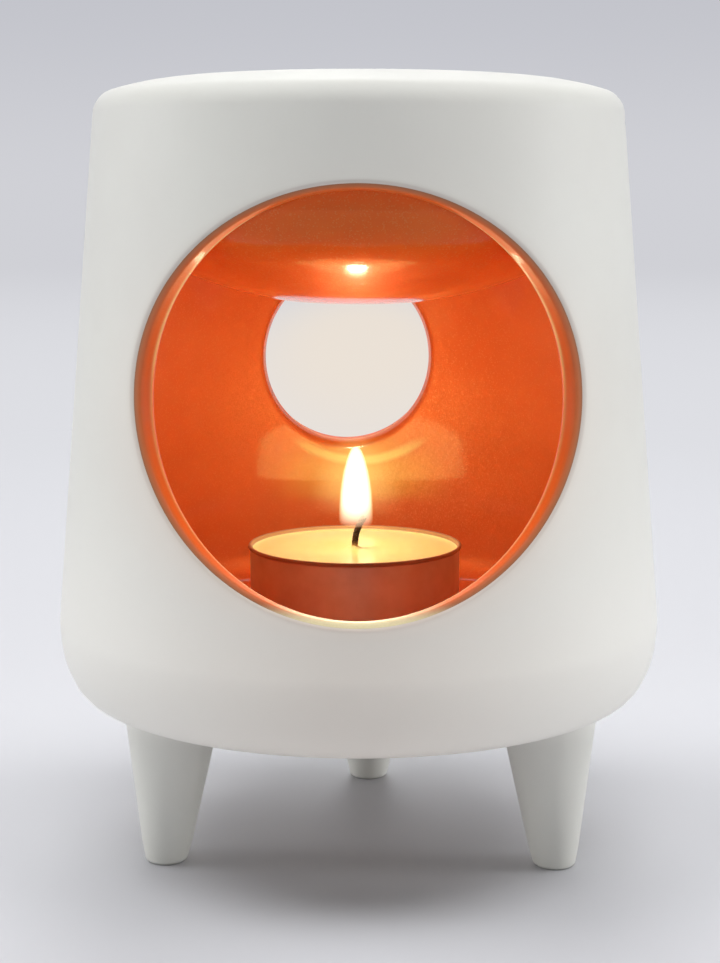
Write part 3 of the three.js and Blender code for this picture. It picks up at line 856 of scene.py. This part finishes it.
def clay_lip(opening):
    """The clay from the border over the lip to the border inside, and where its glaze is thin."""
    turns = np.radians(np.linspace(0, 90, 9))
    outside = toward_border(opening, ROUNDING, 0, up_outside, down_outside, 26)[::-1]
    rings = outside + rounded_edge(opening, ROUNDING, 0, 1, turns[1:])
    rings += rounded_edge(opening, INNER_ROUNDING, WALL, -1, turns[::-1])
    rings += toward_border(opening, INNER_ROUNDING, WALL, up_outside, down_inside, 12)[1:]
    fading = [0.1, 0.25, 0.5]
    mask = [0.0] * (len(outside) - len(fading)) + fading + [1.0] * (len(rings) - len(outside))
    return rings, mask


FLAT_RING, BARE_SHADE_RING = 8, 4
crown_line = crown(0, 20, 14) + arc((crest_radius, top_z - WALL / 2), WALL / 2, 90, 270, 16)[1:-1]
crown_line += crown(WALL, 4, 6)[::-1]
base = arc((base_flat, belt_z), CORNER_WIDTH, 0, -90, 22, CORNER_HEIGHT) + [(base_flat - FLAT_RING, base_z)]
for s in np.linspace(1, 0, 13):
    base.append((HOLLOW_RADIUS * s, base_z + HOLLOW_RISE * (1 + cos(pi * s)) / 2))
wall_foot_z = inner_corner_z + WALL * sin(taper)
corner_centre = (inner_radius(inner_corner_z) - FLOOR_CORNER, inner_corner_z)
chamber_floor = [(outer_radius(wall_foot_z) - WALL * cos(taper), inner_corner_z)]
chamber_floor += arc(corner_centre, FLOOR_CORNER, -8, -90, 8) + [(0, floor_z)]

front_band, front_mask = clay_lip(FRONT)
rear_band, rear_mask = clay_lip(REAR)
bare_clay = [1.0 if r < base_flat - BARE_SHADE_RING else 0.0 for r, z in base]
bands = [turned_rings(base), front_band, rear_band, turned_rings(crown_line), turned_rings(chamber_floor)]
drum = weave("drum_clay", bands, white_ceramic,
             edge=[[0.0] * len(base), front_mask, rear_mask], bare=[bare_clay])


# %% Painted flame tint round the front opening
RIM_TINT_REACH = 0.16
LAP_TINT_STRENGTH, LAP_TINT_WIDTH, LAP_TINT_HEIGHT = 0.6, 28, 30


def warm_up(piece):
    """Marks the painted flame tint on the front wall, by how near each point is to the front opening's
    edge, and to its lap.
    """
    at = np.empty(len(piece.data.vertices) * 3)
    piece.data.vertices.foreach_get("co", at)
    x, y, z = (at.reshape(-1, 3) / MM).T
    rise = (z - opening_z) / FRONT["half_height"]
    away = np.hypot(x / FRONT["half_width"], rise) - 1
    rim_flame_tint = np.exp(-np.clip(away, 0, None) / RIM_TINT_REACH) * np.clip(0.55 - 0.45 * rise, 0.2, 1)
    lap_flame_tint = LAP_TINT_STRENGTH * np.exp(-((x / LAP_TINT_WIDTH) ** 2)) * np.clip((opening_z - z) / LAP_TINT_HEIGHT, 0, 1)
    painted_flame_tint = np.where(y < 0, np.maximum(rim_flame_tint, lap_flame_tint), 0)
    mark(piece.data, "painted_flame_tint", painted_flame_tint)
    print(piece.name, "warmest", round(float(painted_flame_tint.max()), 2))


warm_up(drum)

# %% [markdown]
# The coat of glaze
#
# The coat starts as a feathered edge on the outer rounding of each lip, thickens as it turns
# into the opening, crosses the cut face, rolls over the inner edge and covers the chamber down
# to its floor. Low down the inside of the wall stands upright, because the clay and the glaze
# are thicker there; that is where the wax is seen again, mirrored behind the flame. The coat is
# drawn as its visible face alone; a Solidify modifier then gives it its thickness, backwards
# into the clay.

# %% Coat of glaze
coat_depth = WALL + COAT
coat_corner = FLOOR_CORNER - COAT
corner_z = floor_z + COAT + coat_corner
tangent_height = corner_z + coat_depth * sin(taper)
coat_up, coat_down = 35.9, opening_z - tangent_height
UPRIGHT_FROM, UPRIGHT_FULL = 64.5, 59.0
COAT_START, FEATHER, COAT_BACK = 42, 0.02, 0.35
LIP_HIGHLIGHT_AT, LIP_HIGHLIGHT_WIDTH, LIP_FADE = 2.95, 0.36, 1.2
TURN_EDGE, EDGE_FADE = 0.25, 0.8
CUT_END = WALL - INNER_ROUNDING
SWELL_RINGS = 8


def swell(z):
    """How much thicker the wall is at a height, so that its inside turns from the taper to upright."""
    span = UPRIGHT_FROM - UPRIGHT_FULL
    bend = np.clip(UPRIGHT_FROM - z, 0, span)
    return tan(taper) * (bend ** 2 / (2 * span) + np.clip(UPRIGHT_FULL - z, 0, None))


corner_radius = outer_radius(tangent_height) - coat_depth * cos(taper) - swell(corner_z) - coat_corner


def coat_lip(opening):
    """The coat from its feathered edge over the lip to the border, with its lip, gilt and edge values."""
    rings, edge = [], []
    for angle in np.linspace(COAT_START, 90, 13):
        share = (angle - COAT_START) / (90 - COAT_START)
        reach = ROUNDING + FEATHER + (COAT - FEATHER) * share * share * (3 - 2 * share)
        a = radians(angle)
        rings.append(lip_ring(opening, ROUNDING - reach * cos(a), ROUNDING - reach * sin(a)))
        edge.append(1 - (1 - TURN_EDGE) * share)
    path = [0.0] * len(rings)
    for depth in np.linspace(ROUNDING, CUT_END, 10)[1:]:
        rings.append(lip_ring(opening, depth, -COAT))
        edge.append(TURN_EDGE * max(0.0, 1 - (depth - ROUNDING) / EDGE_FADE))
        path.append(depth)
    reach = INNER_ROUNDING + COAT
    for a in np.radians(np.linspace(0, 90, 17))[1:]:
        rings.append(lip_ring(opening, CUT_END + reach * sin(a), INNER_ROUNDING - reach * cos(a)))
        path.append(CUT_END + reach * a)
    # Where the painted highlight runs, along the inner edge of the lip.
    gilt = [exp(-(((p - LIP_HIGHLIGHT_AT) / LIP_HIGHLIGHT_WIDTH) ** 2)) for p in path]
    lip = [1 - min(1, max(0, (p - LIP_HIGHLIGHT_AT) / LIP_FADE)) for p in path]
    inside = toward_border(opening, INNER_ROUNDING, coat_depth, coat_up, coat_down, 30)[1:]
    for number, ring in enumerate(inside):
        share = min(1, (number + 1) / SWELL_RINGS) if opening is FRONT else 1
        ring[:, :2] *= (1 - swell(ring[:, 2]) * share / np.hypot(ring[:, 0], ring[:, 1]))[:, None]
    rings += inside
    return rings, [values + [0.0] * (len(rings) - len(values)) for values in (lip, gilt, edge)]


front_coat, front_masks = coat_lip(FRONT)
rear_coat, rear_masks = coat_lip(REAR)
lips, gilts, edges = zip(front_masks, rear_masks)
corner = arc((corner_radius, corner_z), coat_corner, 0, -90, 14)
floor_face = turned_rings(corner + [(r, floor_z + COAT) for r in np.linspace(corner_radius, 0, 10)[1:]])
lining = weave("chamber_glaze", [front_coat, rear_coat, floor_face], copper_glaze,
               lip=lips, gilt=gilts, edge=edges)
lowest = min(lining.data.polygons, key=lambda face: face.center.z)
if lowest.normal.z < 0:
    lining.data.flip_normals()
thickness = lining.modifiers.new("thickness", "SOLIDIFY")
thickness.thickness = COAT_BACK * MM
thickness.offset = -1
print("coat faces", len(lining.data.polygons))

# %% [markdown]
# The oil dish
#
# The dish hangs in the drum's top. Its underside is the chamber's ceiling: a shallow bowl that
# steepens outwards and then sweeps up to meet the wall. The bowl is so shallow that the light
# from the rear opening is mirrored along its lowest edge, as a pale lens. Above, a well holds
# the water and oil. It is one turned profile, from the middle of its underside round to the
# middle of the well.

# %% Oil dish
DISH_DEPTH, DISH_WALL, DISH_FLAT, DISH_FILLET = 38.2, 4.0, 13.0, 12.0
DISH_FLANK, DISH_EDGE, DISH_SWEEP = 26.0, 80.0, 12.0
BOWL_MIDDLE, BOWL_RADIUS, BOWL_SLOPE = 6.0, 57.0, 16.5
SIDE_RADIUS, SIDE_SLOPE = 92.0, 25.0
WELL_SETBACK, WELL_CORNER, WELL_EDGE = 0.4, 14.0, 0.8
SEAM = 0.3


def dish_profile():
    """The underside's bowl and sweep, the rim under the crown, then the well, as (radius, height)."""
    bottom, rim_gap = top_z - DISH_DEPTH, WALL + SEAM
    low, side, end, flank = (radians(v) for v in (BOWL_SLOPE, SIDE_SLOPE, DISH_EDGE, DISH_FLANK))
    bowl = arc((BOWL_MIDDLE, bottom + BOWL_RADIUS), BOWL_RADIUS, -90, BOWL_SLOPE - 90, 12)
    side_centre = (bowl[-1][0] - SIDE_RADIUS * sin(low), bowl[-1][1] + SIDE_RADIUS * cos(low))
    bowl += arc(side_centre, SIDE_RADIUS, BOWL_SLOPE - 90, SIDE_SLOPE - 90, 8)[1:]
    bowl_r, bowl_z = bowl[-1]
    width = DISH_SWEEP * (sin(end) - sin(side))
    rise = DISH_SWEEP * (cos(side) - cos(end))

    def edge_z(r):
        return bowl_z + (r - width - bowl_r) * tan(side) + rise

    edge_r = (inner_radius(edge_z(0)) - SEAM) / (1 + tan(side) * tan(taper))
    sweep_centre = (edge_r - DISH_SWEEP * sin(end), edge_z(edge_r) + DISH_SWEEP * cos(end))
    sweep = arc(sweep_centre, DISH_SWEEP, SIDE_SLOPE - 90, DISH_EDGE - 90, 22)
    print("sweep from", np.round(sweep[0], 2), "to", np.round(sweep[-1], 2))
    well_radius = crest_radius - WALL / 2 + WELL_SETBACK
    rim_z = top_z - rim_gap
    middle = (DISH_FLAT, bottom + DISH_FILLET)
    inner_fillet = arc(middle, DISH_FILLET - DISH_WALL, DISH_FLANK - 90, -90, 8)
    flank_r, flank_z = inner_fillet[0]
    corner_r = well_radius - WELL_CORNER
    corner_z = flank_z + (WELL_CORNER + (corner_r - flank_r) * sin(flank)) / cos(flank)
    well = (arc((well_radius + WELL_EDGE, rim_z - WELL_EDGE), WELL_EDGE, 90, 180, 5)
            + arc((corner_r, corner_z), WELL_CORNER, 0, DISH_FLANK - 90, 18)
            + inner_fillet + [(0, bottom + DISH_WALL)])
    return [(0, bottom)] + bowl + sweep + crown(rim_gap, 1, 6) + well


dish = turned_piece("dish_glazed", dish_profile(), dish_glaze, sides=192)

# %% [markdown]
# Legs
#
# Each leg is a turned cone with a rounded foot and a roll of slip where it was luted to the
# base. All three come from one profile. The lean carries the top of each leg inwards while both
# of its ends stay level.

# %% Legs
FOOT_RADIUS, LEG_TOP_RADIUS, LEG_LEAN, LEG_EDGE, SLIP, SUNK = 3.75, 8.5, 1.7, 0.9, 1.4, 0.2
FRONT_INSET, FRONT_ANGLE, REAR_INSET = 8.8, 27.8, 14.9
RING_SHIFT, RING_TURN = 0.8, -1.9


def leg_profile():
    def radius(z):
        return FOOT_RADIUS + (LEG_TOP_RADIUS - FOOT_RADIUS) * z / LEG_HEIGHT

    slip_z = LEG_HEIGHT - SLIP
    shank = [(radius(z), z) for z in np.linspace(LEG_EDGE, slip_z, 10)[1:-1]]
    return ([(0, 0)] + arc((FOOT_RADIUS - LEG_EDGE, LEG_EDGE), LEG_EDGE, -90, 0, 8)
            + shank + arc((radius(slip_z) + SLIP, slip_z), SLIP, 180, 90, 8)
            + [(radius(slip_z) + SLIP, LEG_HEIGHT + SUNK), (0, LEG_HEIGHT + SUNK)])


def leg(name, inset, direction):
    turn = radians(direction + RING_TURN)
    reach = base_flat - inset
    foot = (reach * cos(turn) + RING_SHIFT, reach * sin(turn), 0)
    inwards = -LEG_LEAN / LEG_HEIGHT / hypot(*foot)
    lean = (foot[0] * inwards, foot[1] * inwards, 0)
    return turned_piece(name, leg_profile(), white_ceramic, sides=64, lean=lean, foot=foot)


legs = {
    "leg_front_left": leg("foot_front_left", FRONT_INSET, 180 + FRONT_ANGLE),
    "leg_front_right": leg("foot_front_right", FRONT_INSET, -FRONT_ANGLE),
    "leg_rear": leg("foot_rear", REAR_INSET, 90),
}

# %% [markdown]
# The tealight
#
# Cup and wax are turned too. The cup is one strip of metal with its rim rolled outwards, and the
# wax climbs a little where it wets the cup and the wick.

# %% Cup and wax
cup_low, cup_high = (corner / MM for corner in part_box("tealight_cup"))
CUP_X, CUP_Y, CUP_Z = (cup_low.x + cup_high.x) / 2, (cup_low.y + cup_high.y) / 2, cup_low.z
CUP_RADIUS, CUP_HEIGHT, CUP_WALL, CUP_BEAD, CUP_CORNER = 18.7, 15.6, 0.35, 0.35, 1.6
WAX_BELOW, WAX_CLEAR, WAX_BRIM, BRIM_WIDTH, WAX_DIP = 0.9, 0.05, 0.2, 1.6, 0.12
cup_inner = CUP_RADIUS - CUP_WALL
wax_top = CUP_HEIGHT - WAX_BELOW
bead_z = CUP_HEIGHT - CUP_BEAD
inner_corner = CUP_CORNER - CUP_WALL
cup_profile = (
    [(0, 0)] + arc((CUP_RADIUS - CUP_CORNER, CUP_CORNER), CUP_CORNER, -90, 0, 6)
    + [(CUP_RADIUS, bead_z - CUP_BEAD * 1.6)]
    + arc((CUP_RADIUS, bead_z), CUP_BEAD, -90, 180, 14)
    + arc((cup_inner - inner_corner, CUP_CORNER), inner_corner, 0, -90, 6)
    + [(0, CUP_WALL)]
)
cup = turned_piece("foil_cup", cup_profile, thin_aluminium, sides=128, foot=(CUP_X, CUP_Y, CUP_Z))

wax_edge = cup_inner - WAX_CLEAR
wax_profile = (
    [(0, CUP_WALL + 0.3), (wax_edge - 1, CUP_WALL + 0.3), (wax_edge, CUP_WALL + 1.4)]
    + arc((wax_edge - BRIM_WIDTH, wax_top + WAX_BRIM), BRIM_WIDTH, 0, -90, 8, WAX_BRIM)
    + [(r, wax_top - WAX_DIP * sin(pi * (r - 2) / 14) ** 2) for r in np.linspace(15, 2.4, 12)]
    + [(r, wax_top + climb) for r, climb in ((1.6, 0.03), (1.1, 0.12), (0.8, 0.3), (0.55, 0.5), (0, 0.52))]
)
wax = turned_piece("melted_wax", wax_profile, candle_wax, sides=128, foot=(CUP_X, CUP_Y, CUP_Z))

# %% [markdown]
# The wick
#
# A wick is a round braid: half of its yarns wind to the left and half to the right, passing over
# and under each other. The tree below copies the wick's path once for each yarn, moves each copy
# out from the path by an angle that grows along it, and gives it a round section.

# %% Braid tree
braid, given, result = new_group(
    "round_braid", "GeometryNodeTree",
    {"Path": "object", "Yarns": 8, "Turns": 4.0, "Core": 0.0003, "Yarn": 0.00014, "Finish": "finish"},
    {"Shape": "shape"},
)
line = add(braid, "GeometryNodeObjectInfo", given["Path"]).outputs["Geometry"]
copies = add(braid, "GeometryNodeDuplicateElements", line, None, given["Yarns"], domain="SPLINE")
number = copies.outputs["Duplicate Index"]
along = braid.nodes.new("GeometryNodeSplineParameter").outputs["Factor"]
odd = sums(braid, "MODULO", number, 2.0)
way = sums(braid, "MULTIPLY_ADD", odd, -2.0, 1.0)
wound = times(braid, times(braid, along, given["Turns"]), times(braid, way, 2 * pi))
start = times(braid, number, sums(braid, "DIVIDE", 2 * pi, given["Yarns"]))
angle = sums(braid, "ADD", wound, start)
crossings = times(braid, angle, sums(braid, "DIVIDE", given["Yarns"], 2.0))
lift = times(braid, sums(braid, "SINE", crossings), way)
reach = sums(braid, "MULTIPLY_ADD", lift, times(braid, given["Yarn"], 0.45), given["Core"])
normal = braid.nodes.new("GeometryNodeInputNormal").outputs[0]
tangent = braid.nodes.new("GeometryNodeInputTangent").outputs[0]
side_way = vectors(braid, "CROSS_PRODUCT", tangent, normal)
first = scaled(braid, normal, sums(braid, "COSINE", angle))
second = scaled(braid, side_way, sums(braid, "SINE", angle))
out = scaled(braid, vectors(braid, "ADD", first, second), reach)
moved = add(braid, "GeometryNodeSetPosition", copies.outputs["Geometry"], None, None, out).outputs[0]
section = add(braid, "GeometryNodeCurvePrimitiveCircle", 8)
feed(braid, given["Yarn"], section.inputs["Radius"])
yarns = add(braid, "GeometryNodeCurveToMesh", moved, section.outputs["Curve"])
yarns.inputs["Fill Caps"].default_value = True
hand_out(braid, yarns.outputs[0], given, result)
print("braid tree", len(braid.nodes), "nodes")

# %% Wick
WICK_RISE, WICK_LEAN, WICK_BEND, WICK_DEPTH = 5.6, 1.7, 0.64, 2.0
surface_point = np.array([CUP_X, CUP_Y, CUP_Z + wax_top])
bend = surface_point + [0, 0, WICK_RISE * WICK_BEND]
tip_of_wick = surface_point + [WICK_LEAN, 0, WICK_RISE]
wick_path = list(np.linspace(surface_point - [0, 0, WICK_DEPTH], surface_point, 12))
for s in np.linspace(0, 1, 34)[1:]:
    wick_path.append((1 - s) ** 2 * surface_point + 2 * s * (1 - s) * bend + s * s * tip_of_wick)
wick = grow_shape("braided_wick", braid, charred_cotton, Path=path_curve("wick_line", wick_path),
                  Yarns=8, Turns=2.6, Core=0.00036, Yarn=0.00019)

# %% [markdown]
# The flame
#
# The flame is the one thing here that isn't solid. It is a turned teardrop round the wick's tip,
# thin and clear at its foot and its edges, in a faint wider mantle of hot gas. A small warm lamp
# inside it gives the light that the copper reflects, so the teardrop itself casts no shadow.

# %% Flame shape
FLAME = [(0, 56.0), (2.0, 56.0), (2.75, 56.2), (3.0, 56.6), (3.08, 57.5), (3.02, 59.7), (2.86, 62.2),
         (2.62, 64.0), (2.25, 66.0), (1.78, 67.7), (1.36, 68.9), (1.0, 69.7), (0.6, 70.2), (0.0, 70.4)]
FLAME_X = CUP_X + 0.2
MANTLE_WIDER, MANTLE_TALLER, MANTLE_DROP = 3.1, 1.2, 0.4
LAMP_Z, LAMP_RADIUS, LAMP_POWER = 64.0, 2.3, 0.025
radii, heights = np.array(FLAME).T
steps = np.concatenate([[0], np.cumsum(np.hypot(np.diff(radii), np.diff(heights)))])
fine = np.linspace(0, steps[-1], 60)
flame_r, flame_z = np.interp(fine, steps, radii), np.interp(fine, steps, heights)
mantle_z = heights[0] - MANTLE_DROP + (flame_z - heights[0]) * MANTLE_TALLER


def flame_shell(name, radius, height, mantle):
    """A turned shell of glowing gas, which throws no shadow, marked as mantle or not."""
    profile = list(zip(radius, height))
    shell = turned_piece(name, profile, flame_light, sides=64, foot=(FLAME_X, CUP_Y, 0))
    mark(shell.data, "mantle", [mantle] * len(shell.data.vertices))
    shell.visible_shadow = False
    shell.visible_diffuse = False
    return shell


flame_shells = [flame_shell("flame", flame_r, flame_z, 0.0),
                flame_shell("flame_mantle", flame_r * MANTLE_WIDER, mantle_z, 1.0)]

glow = bpy.data.lights.new("flame_lamp", "POINT")
glow.energy = LAMP_POWER
glow.color = (1.0, 0.80, 0.50)
glow.shadow_soft_size = LAMP_RADIUS * MM
flame_lamp = into_scene("flame_lamp", glow)
flame_lamp.location = (FLAME_X * MM, CUP_Y * MM, LAMP_Z * MM)
flame_lamp.parent = frame["bodies"]["tealight"]
print("flame lamp", glow.energy, "W")

# %% [markdown]
# Riding on the frame
#
# Each piece is tied to the body that carries it and stands in for its plain solid. The flame rides
# on the tealight, so it goes where the candle goes.

# %% Tie the pieces
pottery = [(drum, "body_wall", "white_ceramic"), (lining, "copper_lining", "copper_glaze"),
           (dish, "oil_dish", "copper_glaze")]
pottery += [(foot, node, "white_ceramic") for node, foot in legs.items()]
candle = [(cup, "tealight_cup", "thin_aluminium"), (wax, "wax", "candle_wax"),
          (wick, "wick", "charred_cotton")]
for body, pieces in (("burner", pottery), ("tealight", candle)):
    for piece, node, slot_name in pieces:
        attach(piece, body)
        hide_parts(node)
for shell in flame_shells:
    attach(shell, "tealight")
plate = frame["nodes"]["wick_sustainer"]
plate.data.materials.clear()
plate.data.materials.append(tinplate)
